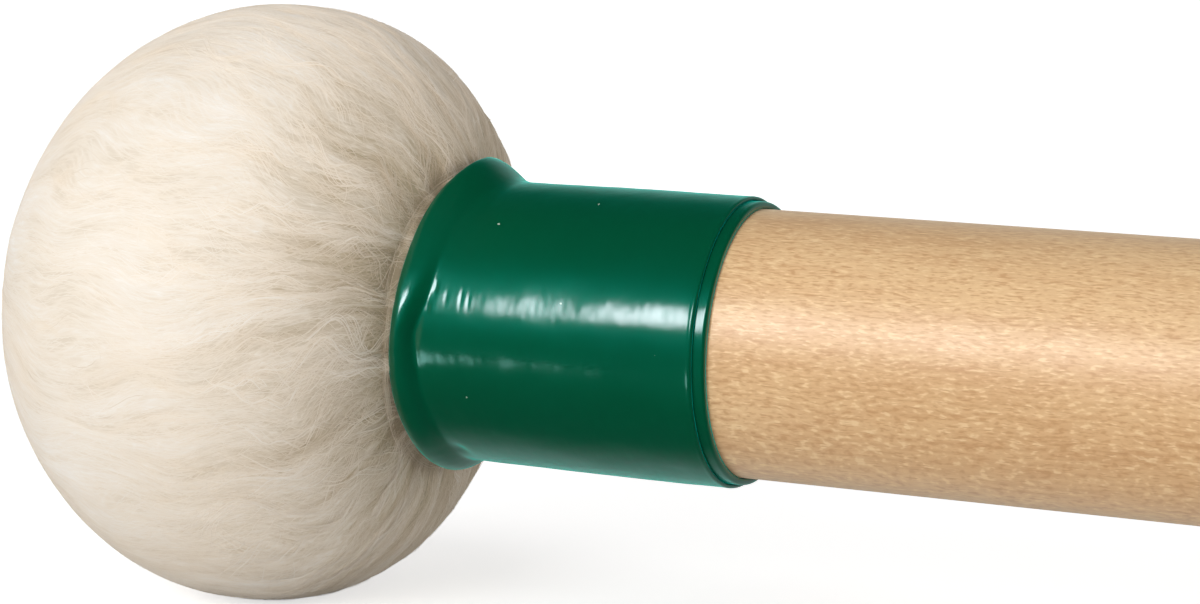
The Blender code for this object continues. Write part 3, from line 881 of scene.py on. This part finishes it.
    def body(self) -> bpy.types.Object:
        """The closed body of the fleece, with its locks in relief and its cavity."""
        angle = (np.arange(self.segments) + 0.5) * TURN / self.segments
        arc, turn = np.meshgrid(self.arc, angle, indexing="ij")
        combed = turn + self.wander(arc, turn)
        height, tone = self.locks(arc, combed)
        fade = np.clip((self.arc[-1] - arc) / 0.006, 0, 1)
        outside = self.surface(arc, turn, height * fade)
        lining = self._inside()
        x, around = np.meshgrid(lining[:, 0], angle, indexing="ij")
        inside = self.axis.place(x, lining[:, 1][:, None], around)
        made = Mesh.turned("combed_fleece", np.concatenate([outside, inside]), poles=True)
        tone = np.concatenate([tone.ravel(), np.full(inside.size // 3, 0.3), [0.8, 0.3]])
        Mesh.paint(made, "tone", tone)
        ends = np.zeros((inside.size // 3 + 2, 3))
        Mesh.paint(made, "comb", np.concatenate([self.comb(arc, combed).reshape(-1, 3), ends]))
        return made

    def starts(self, family: FibreFamily, rng: np.random.Generator) -> np.ndarray:
        """Arcs of the fibres' middles, spread evenly over the area or towards the neck."""
        if family.lie is Lie.HOOPED:
            return self.last - rng.uniform(-0.0003, 0.0003, family.count)
        places = np.linspace(0, self.last + 0.0010, 400)
        _, radius = self.station(places)
        wanted = 1 - family.to_neck + family.to_neck * self.neckward(places) ** 0.7
        share = np.cumsum(radius * wanted)
        return np.interp(rng.uniform(0, 1, family.count), share / share[-1], places)

    def fibres(self, family: FibreFamily) -> bpy.types.Object:
        """Many fine fibres on the fleece.

        A combed fibre keeps to one combed line, turned by its lean, curved by its bend and
        waved by the crimp of its lock. A hooped one runs round the mouth instead, and a
        matted one in any direction on a flat map of the front. Each starts and ends in the
        pile and arches out of it.

        Args:
            family: what the fibres are.

        Returns:
            The object with all the fibres.
        """
        rng = np.random.default_rng(family.seed)
        count = family.count
        share = np.linspace(-0.5, 0.5, family.steps)
        first = np.arange(count) // family.bunch * family.bunch
        loose = 0.0 if family.bunch == 1 else 1.0
        long = rng.uniform(*family.length, count)[first, None]
        start = self.starts(family, rng)[first, None]
        start = start + loose * rng.normal(0, 0.0004, count)[:, None]
        angle = rng.uniform(0, TURN, count)[first, None]
        angle = angle + loose * rng.normal(0, 0.00009, count)[:, None] / self.radius
        bend = rng.normal(0, family.bend, count)[first, None]
        bend = bend + loose * rng.normal(0, 0.12, count)[:, None]
        if family.lie is Lie.MATTED:
            turn = rng.uniform(0, TURN, count)[:, None] + bend * share * 2
            across = start * np.cos(angle) + np.cumsum(np.cos(turn), axis=1) / family.steps * long
            up = start * np.sin(angle) + np.cumsum(np.sin(turn), axis=1) / family.steps * long
            arc, combed = np.hypot(across, up), np.arctan2(up, across)
            round_angle = combed
        else:
            lean = rng.normal(0, family.spread, count)[first, None]
            lean = lean + loose * rng.normal(0, 0.04, count)[:, None]
            along = 1.0
            if family.lie is Lie.HOOPED:
                along, lean = 0.05, lean + 1.0
            arc = np.minimum(np.abs(start + along * share * long), self.last + 0.0010)
            aside = (lean * share + bend * share ** 2) * long
            crimp = Drift(0.0035, 31, waves=20).at(self.comb(arc, angle + 0 * arc)) * 0.00012
            own = rng.uniform(0, TURN, count)[first, None]
            size = family.curl * rng.uniform(0.15, 1.0, count)[first, None]
            pitch = rng.uniform(0.0018, 0.0034, count)[first, None]
            wave = size * np.sin(own + share * long * TURN / pitch)
            _, width = self.station(arc)
            combed = angle + (aside + crimp + wave) / np.maximum(width, 0.005)
            round_angle = combed - self.wander(arc, combed)
        ground, tone = self.locks(arc, combed)
        arch = 1 - (2 * share) ** 2
        raised = family.lift * rng.uniform(0.15, 1.0, count)[:, None] * arch
        sunk = family.radius * 1.2 * (2 * share) ** 4
        height = ground + raised - sunk
        paths = self.surface(arc, round_angle, height)
        width = family.radius * rng.uniform(0.6, 1.2, count)[:, None] * (0.35 + 0.65 * arch ** 0.5)
        lift = self.outward(arc, round_angle)
        made = Mesh.strands(family.name, paths, lift, width, family.flat)
        share = family.even + (1 - family.even) * self.neckward(arc)
        tone = tone + share * family.paler + (0.3 + 0.7 * share) * rng.normal(0, 0.10, count)[:, None]
        Mesh.paint(made, "tone", np.repeat(tone.ravel(), 3))
        return made

    def make(self, dresser: Dresser) -> None:
        """Builds the fleece and its fibres."""
        made = dresser.dress(self.body(), self.fleece, "wool", "fleece_cover")
        batches = 5
        families = [
            FibreFamily(
                f"combed_fibres_{batch + 1}", Lie.COMBED, 3600, (0.003, 0.008), 0.000022, 100 + batch
            )
            for batch in range(batches)
        ]
        families += [
            FibreFamily(
                "matted_fibres", Lie.MATTED, 2400, (0.003, 0.006), 0.000022, 200, bend=0.8
            ),
            FibreFamily(
                "curled_fibres", Lie.COMBED, 2900, (0.0025, 0.006), 0.000024, 300, steps=12,
                spread=0.28, bend=0.8, lift=0.00007, paler=0.24, even=0.0, to_neck=0.96,
                curl=0.00022,
            ),
            FibreFamily(
                "bunched_fibres", Lie.COMBED, 1500, (0.003, 0.007), 0.000032, 400, steps=16,
                spread=0.25, bend=0.7, lift=0.00011, paler=0.34, even=0.0, to_neck=0.96, bunch=5,
                curl=0.00030,
            ),
        ]
        families.append(FibreFamily(
            "hooped_fibres", Lie.HOOPED, 110, (0.0025, 0.006), 0.000024, 500, steps=12,
            spread=0.05, lift=0.00020, paler=0.32, even=0.0, curl=0.00006,
        ))
        for family in families:
            made = dresser.dress(self.fibres(family), self.fibre, "wool")
            made.visible_shadow = False


@dataclass
class Collar:
    """Two layers of shrunk tube that cover the neck and hold the fleece."""

    axis: MalletAxis
    start: float
    end: float
    inner_start: float
    inner_end: float
    plastic: bpy.types.Material
    straight_radius: float = 0.0087
    outer_wall: float = 0.0002
    inner_wall: float = 0.0004
    gap: float = 0.00005
    lip_rise: float = 0.00078
    lip_length: float = 0.00105
    lip_longer: float = 0.0014  # how much longer above and below
    calm_angle: float = -0.95  # where the lip stands least
    flare_rise: float = 0.00060  # what the flare on top adds to the lip
    flare_length: float = 0.0036
    curl: float = 0.00018
    groove_width: float = 0.00042
    groove_depth: float = 0.00006
    dents: tuple = (  # each: how deep in the tube, angle, half length, half turn, depth
        (0.00240, -2.61, 0.00045, 0.10, 0.00014),
        (0.00412, -1.287, 0.00012, 0.075, 0.000013),
        (0.00462, -1.310, 0.00010, 0.055, 0.000011),
        (0.00315, -1.295, 0.00014, 0.050, 0.000010),
        (0.00236, -1.230, 0.00013, 0.040, 0.000030),
        (0.00203, -1.380, 0.00015, 0.035, 0.000020),
        (0.01184, -0.965, 0.00080, 0.060, 0.000010),
    )
    bead: float = 0.000012
    cut_back: float = 0.0015  # how far the rim is short on top
    cut_angle: float = -0.10
    cut_reach: float = 0.0060
    segments: int = 360

    @staticmethod
    def slope(share: np.ndarray, power: np.ndarray, foot: float) -> np.ndarray:
        """A fall from 1 to 0 over a share from 0 to 1, with a rounded foot.

        It is the cosine of a quarter turn times the share to a power, which would go on
        below 0, put through the soft version of max(0, value): foot log(1 + exp(value / foot)).
        """
        fall = np.cos(math.pi / 2 * np.clip(share, 0, 1.45) ** power)
        return foot * np.log1p(np.exp(fall / foot))

    def lip(self, x: np.ndarray, angle: np.ndarray) -> np.ndarray:
        """How far the tube stands out over its straight part.

        A lip goes all round and stands least at one angle, and a flare is added to it on top.
        Both fall to the straight part by the slope. The lip's edge is curled in, a groove runs
        along its foot on the sides and below, the tube is a little thinner behind it, and small
        dents are pressed into the skin.
        """
        upper, lower = np.maximum(0.0, np.cos(angle)), np.maximum(0.0, -np.cos(angle))
        ring = np.stack([np.cos(angle), np.sin(angle), np.zeros_like(angle)], axis=-1)
        wander = Drift(0.009, 41).at(ring * self.straight_radius)
        deep = x - self.start
        power = 1.45 + 0.35 * np.sin(angle) ** 2 - 0.40 * upper ** 2
        power = power + (0.3 + 0.4 * np.clip(lower / 0.5, 0, 1)) * np.sin(angle) ** 4
        calm = np.exp(-(self.off(angle, self.calm_angle) / 0.40) ** 2)
        rise = self.lip_rise * (1 - 0.55 * calm) - 0.00008 * lower ** 2 + 0.00003 * wander
        high = np.clip(upper / 0.25, 0, 1)
        grown = (np.cos(angle) ** 2 + 0.004) ** (0.35 - 0.05 * high + 0.35 * lower)
        longer = (self.lip_longer + 0.00035 * high) * grown - 0.0008 * lower ** 4
        length = self.lip_length + longer + 0.00006 * wander
        lip = rise * self.slope(deep / length, power, 0.10)
        flare = self.slope(deep / self.flare_length, power, 0.07)
        lip = lip + self.flare_rise * upper ** 4 * flare
        curl = self.curl * (1 - upper ** 2) * np.clip(1 - deep / 0.0005, 0, 1) ** 2
        groove = np.exp(-((deep - length * 1.05) / self.groove_width) ** 2)
        shallow = np.clip(1 - 2.2 * upper, 0, 1) * (1 - 0.7 * np.clip(lower / 0.3, 0, 1))
        groove = self.groove_depth * shallow * groove
        for place, middle, long, wide, depth in self.dents:
            away = ((deep - place) / long) ** 2 + (self.off(angle, middle) / wide) ** 2
            lip = lip - depth * np.exp(-away)
        waist = 0.00007 * np.exp(-(((deep - 0.0025) / 0.0045) ** 2))
        return lip - curl - groove - waist

    @staticmethod
    def off(angle: np.ndarray, middle: float) -> np.ndarray:
        """Shortest turn from the middle angle to each angle."""
        return np.angle(np.exp(1j * (angle - middle)))

    def rim(self, x: np.ndarray, angle: np.ndarray) -> np.ndarray:
        """Stations with the rim cut back on top and drawn forward low at the front."""
        share = np.exp(-((self.off(angle, self.cut_angle) / 0.52) ** 2))
        forward = 0.00030 * np.exp(-((self.off(angle, -1.95) / 0.5) ** 2))
        fade = np.clip(1 - (x - self.start) / self.cut_reach, 0, 1) ** 2
        return x + (self.cut_back * share - forward) * fade

    def ripple(self, x: np.ndarray, angle: np.ndarray) -> np.ndarray:
        """Fine unevenness of the shrunk skin, in metres."""
        around = self.straight_radius * np.cos(angle), self.straight_radius * np.sin(angle)
        points = np.stack([*around, x], axis=-1)
        broad = Drift(0.0060, 42).at(points)
        middle = Drift(0.0024, 43).at(points)
        close = Drift(0.0008, 44).at(points)
        hoops = Drift(0.00045, 45).at(points * np.array([0.25, 0.25, 1.0]))
        lip = 1 + 1.5 * np.clip(1 - (x - self.start) / 0.0030, 0, 1)
        fine = 0.0000009 * close + 0.0000004 * hoops
        return 0.000010 * broad + 0.0000035 * middle + lip * fine

    def sleeve(
        self, name: str, span: tuple, outer: float, wall: float, rings: int, bead: float
    ) -> bpy.types.Object:
        """One layer of tube as a closed wall with rounded cut edges.

        Args:
            name: the piece's name.
            span: stations of its two edges.
            outer: outside radius of its straight part.
            wall: its thickness.
            rings: rings on its outside.
            bead: height of the bead that its handle end draws up.

        Returns:
            The piece.
        """
        start, end = span
        share = np.linspace(0, 1, rings)
        x = start + (end - start) * share
        tail = np.linspace(0, math.pi / 2, 7)[1:]
        x = np.concatenate([x[x < end - 0.0007], np.linspace(end - 0.0007, end - wall * 0.5, 16)])
        ring = np.exp(-(((end - 0.00018 - x) / 0.00010) ** 2))
        outside = np.stack([x, outer + bead * ring], axis=1)
        outside[0, 1] -= wall * 0.35
        turned = np.stack([
            end - wall * 0.5 * (1 - np.sin(tail)),
            outer - wall * 0.5 * (1 - np.cos(tail)),
        ], axis=1)
        outside = np.concatenate([outside, turned])
        back = start + (end - start) * np.linspace(1, 0, 26) ** 1.6
        inside = np.stack([back, np.full(len(back), outer - wall)], axis=1)
        profile = np.concatenate([outside, inside])
        angle = (np.arange(self.segments) + 0.5) * TURN / self.segments
        x, turn = np.meshgrid(profile[:, 0], angle, indexing="ij")
        radius = profile[:, 1][:, None] + self.lip(x, turn)
        skin = (np.arange(len(profile)) < len(outside))[:, None]
        radius = radius + np.where(skin, self.ripple(x, turn), 0.0)
        return Mesh.turned(name, self.axis.place(self.rim(x, turn), radius, turn), poles=False)

    def make(self, dresser: Dresser) -> None:
        """Builds both layers."""
        inner = self.straight_radius - self.outer_wall - self.gap
        span = self.inner_start, self.inner_end
        under = self.sleeve("shrunk_inner_sleeve", span, inner, self.inner_wall, 110, 0.0)
        dresser.dress(under, self.plastic, "green_plastic", "inner_sleeve")
        over = self.sleeve(
            "shrunk_outer_sleeve", (self.start, self.end), self.straight_radius,
            self.outer_wall, 225, self.bead,
        )
        dresser.dress(over, self.plastic, "green_plastic", "outer_sleeve")


@dataclass
class Handle:
    """The maple handle, turned smooth from the CAD node's own outline."""

    axis: MalletAxis
    radius: float
    tenon_end: float
    maple: bpy.types.Material
    neck_radius: float = 0.00603
    tenon_radius: float = 0.00503
    neck_end: float = 0.01573
    ramp: float = 0.0010
    pilot_radius: float = 0.00187
    pilot_depth: float = 0.0140
    butt_round: float = 0.0035
    chamfer: float = 0.0006
    segments: int = 240

    def make(self, dresser: Dresser) -> None:
        """Builds the handle from its pilot hole round the tenon and neck to the butt."""
        quarter = np.linspace(math.pi / 2, 0, 16)
        butt = np.stack([
            HANDLE_LENGTH - self.butt_round + self.butt_round * np.cos(quarter),
            self.radius - self.butt_round + self.butt_round * np.sin(quarter),
        ], axis=1)
        full = self.neck_end + self.ramp
        straight = np.linspace(full, HANDLE_LENGTH - self.butt_round, 60)[:-1]
        profile = np.concatenate([
            [[self.tenon_end + self.pilot_depth - 0.0001, 0.0001]],
            [[self.tenon_end + self.pilot_depth - self.pilot_radius, self.pilot_radius]],
            [[self.tenon_end, self.pilot_radius]],
            [[self.tenon_end, self.tenon_radius - self.chamfer]],
            [[self.tenon_end + self.chamfer, self.tenon_radius]],
            [[0, self.tenon_radius], [0, self.neck_radius], [self.neck_end, self.neck_radius]],
            np.stack([straight, np.full(len(straight), self.radius)], axis=1),
            butt,
            [[HANDLE_LENGTH, 0.0001]],
        ])
        angle = (np.arange(self.segments) + 0.5) * TURN / self.segments
        x, turn = np.meshgrid(profile[:, 0], angle, indexing="ij")
        grid = self.axis.place(x, profile[:, 1][:, None], turn)
        made = Mesh.turned("turned_maple_handle", grid, poles=True)
        made.data.set_sharp_from_angle(angle=math.radians(35))
        dresser.dress(made, self.maple, "maple", "handle")


@dataclass(frozen=True)
class View:
    """The camera at the photograph's viewing angle."""

    lens: float = 94.02  # mm, for a sensor 36 mm wide
    azimuth: float = 24.31
    elevation: float = 6.28
    position: tuple = (-0.06704682, -0.17197061, 0.04053139)

    def make(self) -> None:
        """Creates the camera and makes it the scene's."""
        data = bpy.data.cameras.new("photograph_view")
        data.lens = self.lens
        data.sensor_width = 36
        data.clip_start = 0.01
        camera = bpy.data.objects.new("photograph_view", data)
        camera.location = self.position
        camera.rotation_euler = (math.radians(90 - self.elevation), 0, math.radians(self.azimuth))
        bpy.context.scene.collection.objects.link(camera)
        bpy.context.scene.camera = camera


@dataclass(frozen=True)
class Lamp:
    """A soft area lamp, aimed at the mallet's head and collar."""

    name: str
    azimuth: float
    elevation: float
    distance: float
    size: tuple
    radiance: float
    glossy: bool = True
    diffuse: bool = True
    shape: str = "ELLIPSE"
    nest: tuple = (1.0,)  # sizes of the lamps one behind another that make its edge soft
    roll: float = 0.0  # degrees by which its upright axis leans to the right
    colour: tuple = (1.0, 1.0, 1.0)

    def make(self, aim: np.ndarray) -> None:
        """Creates the lamp.

        Args:
            aim: the point that it faces. Azimuth 0 is the side that azimuth 0 looks from, -Y.
        """
        azimuth, elevation = math.radians(self.azimuth), math.radians(self.elevation)
        away = np.array([
            math.sin(azimuth) * math.cos(elevation),
            -math.cos(azimuth) * math.cos(elevation),
            math.sin(elevation),
        ])
        for index, share in enumerate(self.nest):
            data = bpy.data.lights.new(self.name, "AREA")
            data.shape = self.shape
            far = self.distance * (1 + 0.01 * index)
            data.size, data.size_y = (side * share * far / self.distance for side in self.size)
            area = data.size * data.size_y * (math.pi / 4 if self.shape == "ELLIPSE" else 1.0)
            data.energy = self.radiance * area * math.pi / len(self.nest)
            data.color = self.colour
            lamp = bpy.data.objects.new(self.name, data)
            lamp.location = aim + away * far
            turn = Euler((math.radians(90) - elevation, 0, azimuth)).to_matrix()
            rolled = turn @ Matrix.Rotation(-math.radians(self.roll), 3, "Z")
            lamp.rotation_euler = rolled.to_euler()
            lamp.visible_glossy = self.glossy
            lamp.visible_diffuse = self.diffuse
            lamp.visible_camera = False
            bpy.context.scene.collection.objects.link(lamp)


@dataclass(frozen=True)
class Studio:
    """Floor, world and lamps."""

    floor_half: float = 6.0
    floor_colour: tuple = (0.88, 0.875, 0.87, 1)
    floor_lift: tuple = (0.63, 1.0)  # what the eye sees over the lit floor, near and far
    fill: tuple = (0.58, 0.0)  # in front of the mallet and behind it
    backdrop: float = 0.31  # brightness of the backdrop and floor in reflections
    room: float = 0.004  # brightness of the dark room in reflections

    def floor(self) -> None:
        """A pale plane under the mallet. Reflections show the world below it instead."""
        half = self.floor_half
        corners = np.array([[-half, -half, 0], [half, -half, 0], [half, half, 0], [-half, half, 0]])
        made = Mesh.build("floor", corners, np.array([[0, 1, 2, 3]]), np.empty((0, 3), int))
        material = bpy.data.materials.new("floor_white")
        material.use_nodes = True
        nodes = Nodes(material.node_tree)
        shader = material.node_tree.nodes["Principled BSDF"]
        path = nodes.add("ShaderNodeLightPath").outputs
        seen = nodes.sum("MAXIMUM", path["Is Camera Ray"], path["Is Transmission Ray"])
        nodes.feed(shader, Base_Color=self.floor_colour, Roughness=1.0, Specular_IOR_Level=0.0)
        away = nodes.add("ShaderNodeVectorMath", operation="LENGTH")
        nodes.give(away.inputs[0], nodes.add("ShaderNodeTexCoord").outputs["Object"])
        lift = nodes.ramp(away.outputs["Value"], 0.1, 0.9, *self.floor_lift)
        nodes.feed(shader, Emission_Color=(1, 1, 1, 1))
        nodes.feed(shader, Emission_Strength=nodes.sum("MULTIPLY", seen, lift))
        made.data.materials.append(material)
        made.visible_glossy = False

    def world(self) -> None:
        """White to the eye, pale behind the mallet in reflections, and a soft fill."""
        world = bpy.data.worlds.new("studio")
        bpy.context.scene.world = world
        world.use_nodes = True
        nodes = Nodes(world.node_tree)
        background = world.node_tree.nodes["Background"]
        path = nodes.add("ShaderNodeLightPath").outputs
        split = nodes.add("ShaderNodeSeparateXYZ")
        nodes.feed(split, Vector=nodes.add("ShaderNodeTexCoord").outputs["Generated"])
        back = nodes.sum("MULTIPLY_ADD", split.outputs["Z"], -0.50, split.outputs["Y"])
        behind = nodes.ramp(back, 0.38, 0.88, self.room, self.backdrop)
        seen = nodes.sum("MAXIMUM", path["Is Camera Ray"], path["Is Transmission Ray"])
        glossy = nodes.sum("MULTIPLY", path["Is Glossy Ray"], behind)
        other = nodes.sum("SUBTRACT", 1.0, path["Is Glossy Ray"])
        front, rear = self.fill
        around = nodes.add("ShaderNodeMapRange")
        nodes.feed(around, Value=split.outputs["Y"], From_Min=-1.0, To_Min=front, To_Max=rear)
        fill = nodes.sum("MULTIPLY", other, around.outputs["Result"])
        strength = nodes.sum("MAXIMUM", seen, nodes.sum("MAXIMUM", glossy, fill))
        nodes.feed(background, Color=(1, 1, 1, 1), Strength=strength)

    def make(self, aim: np.ndarray) -> None:
        """Builds the whole studio around the point that the lamps face."""
        self.floor()
        self.world()
        for lamp in (
            Lamp("key", -11.4, 22.6, 1.1, (0.6, 0.6), 6.55, glossy=False),
            Lamp(
                "key_shine", -19.4, 23.2, 1.0, (0.215, 0.37), 22.5, diffuse=False,
                nest=(0.55, 0.75, 0.9, 1.03, 1.15), roll=19, colour=(0.97, 1.0, 1.08),
            ),
            Lamp("overhead", 0, 75, 1.1, (0.64, 0.64), 1.65, glossy=False),
            Lamp("behind", 120, 12, 1.1, (0.64, 0.64), 1.8, glossy=False),
            Lamp("right", 68, 3, 1.1, (0.5, 0.5), 1.0, glossy=False),
            Lamp(
                "low_shine", -36.4, -22.0, 0.8, (0.17, 0.105), 6.0, diffuse=False,
                nest=(0.75, 0.9, 1.0, 1.1, 1.2), colour=(0.5, 1.0, 0.97),
            ),
        ):
            lamp.make(aim)
        bpy.context.scene.view_settings.view_transform = "Standard"


def main() -> None:
    """Loads the frame, dresses the mallet from its head to its butt and sets the studio."""
    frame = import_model()
    axis = MalletAxis.from_record(frame["record"])
    dresser = Dresser(frame)
    front, hem_end, radius = axis.reach(frame["nodes"]["fleece_cover"])
    collar_start, collar_end, _ = axis.reach(frame["nodes"]["outer_sleeve"])
    inner_start, inner_end, _ = axis.reach(frame["nodes"]["inner_sleeve"])
    tenon_end, _, handle_radius = axis.reach(frame["nodes"]["handle"])
    core_start, core_end, _ = axis.reach(frame["nodes"]["head_core"])

    fleece = WoolFinish("cream_fleece", combed=True).material()
    fibre = WoolFinish("cream_fibre", sheen=0.1).material()
    plastic = PlasticFinish("green_shrunk_tube").material()
    maple = MapleFinish("oiled_maple", lean=axis.lean).material()
    core_wood = MapleFinish(
        "core_beech", lean=axis.lean, pale=(0.66, 0.45, 0.27, 1), body=(0.58, 0.38, 0.22, 1),
        deep=(0.48, 0.30, 0.17, 1), pitch=1.4, coat=0.0,
    ).material()
    steel = SteelFinish("plated_steel").material()
    felt = FeltFinish("grey_felt").material()
    linen = FeltFinish(
        "waxed_linen", (0.74, 0.64, 0.47, 1), (0.60, 0.50, 0.35, 1), 1500.0, 0.00004
    ).material()

    equator = (core_start + core_end - 0.00012) / 2
    FleeceHead(axis, front, hem_end, radius, equator, fleece, fibre).make(dresser)
    Collar(axis, collar_start, collar_end, inner_start, inner_end, plastic).make(dresser)
    Handle(axis, handle_radius, tenon_end, maple).make(dresser)
    for material, nodes in (
        (core_wood, ("head_core",)),
        (steel, ("core_washer", "core_screw")),
        (felt, ("felt_liner", "front_felt_pad")),
        (linen, ("gathering_thread", "neck_binding")),
    ):
        for node in nodes:
            dresser.refinish(node, material)

    View().make()
    aim = axis.place(np.array(collar_start), np.array(0.0), np.array(0.0))
    Studio().make(aim)


if __name__ == "__main__":
    logging.basicConfig(level=logging.INFO, format="%(message)s")
    main()
